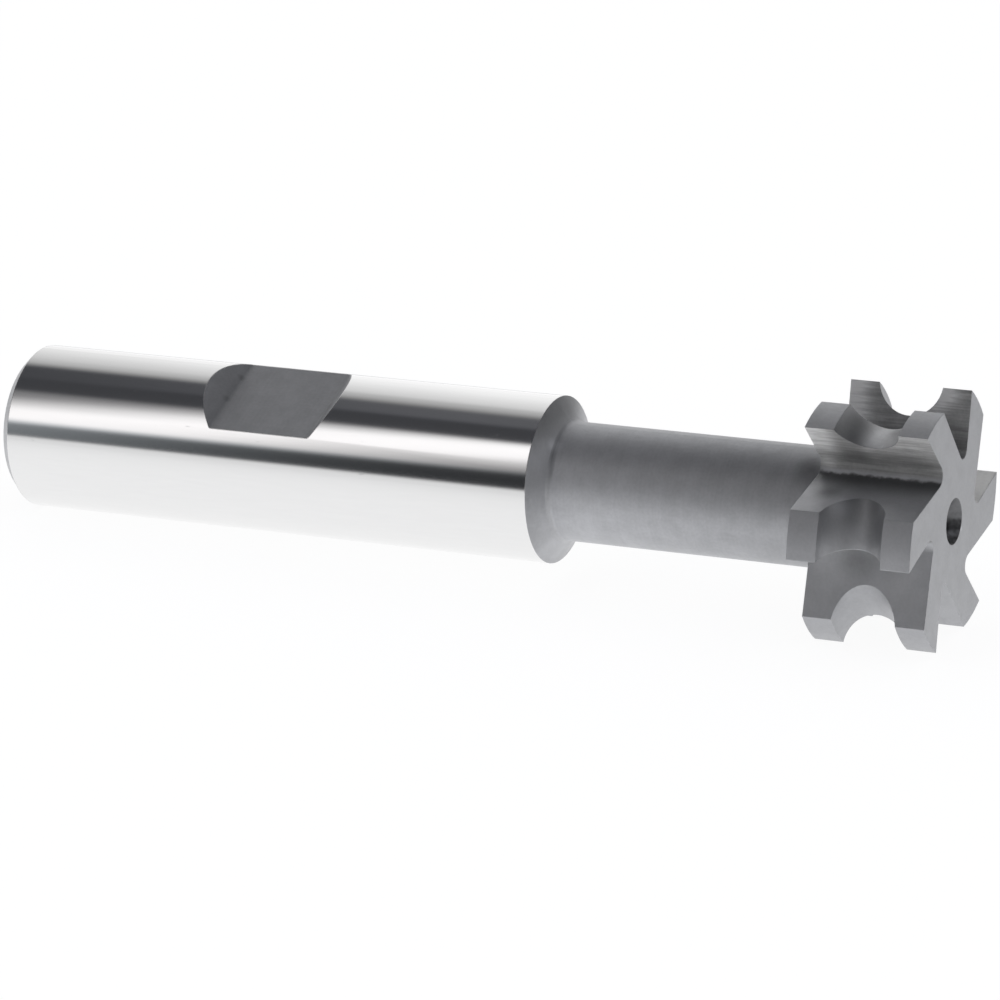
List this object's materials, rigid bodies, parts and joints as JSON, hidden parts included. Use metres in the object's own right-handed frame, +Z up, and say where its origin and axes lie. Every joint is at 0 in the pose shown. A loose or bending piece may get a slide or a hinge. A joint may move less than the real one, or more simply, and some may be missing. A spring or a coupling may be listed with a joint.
{
  "type": "concave milling cutter",
  "caption": "Shank-type milling cutter with a rounded groove across its teeth, for milling half-round edges, with a clamping flat on the shank.",
  "frame": {"origin": "on the cutter's axis, midway along the shank and under the middle of the clamping flat", "axes": "+X along the axis towards the toothed head; +Z up as the cutter lies on a table, resting on one cutting edge, the next tooth's heel and the shank's rear rim"},
  "size_m": [0.0763, 0.0192, 0.0176],
  "materials": {
    "steel": "ground tool steel: mirror-polished shank, satin neck and head"
  },
  "bodies": {
    "root": {"cutter": "steel"}
  },
  "joints": []
}
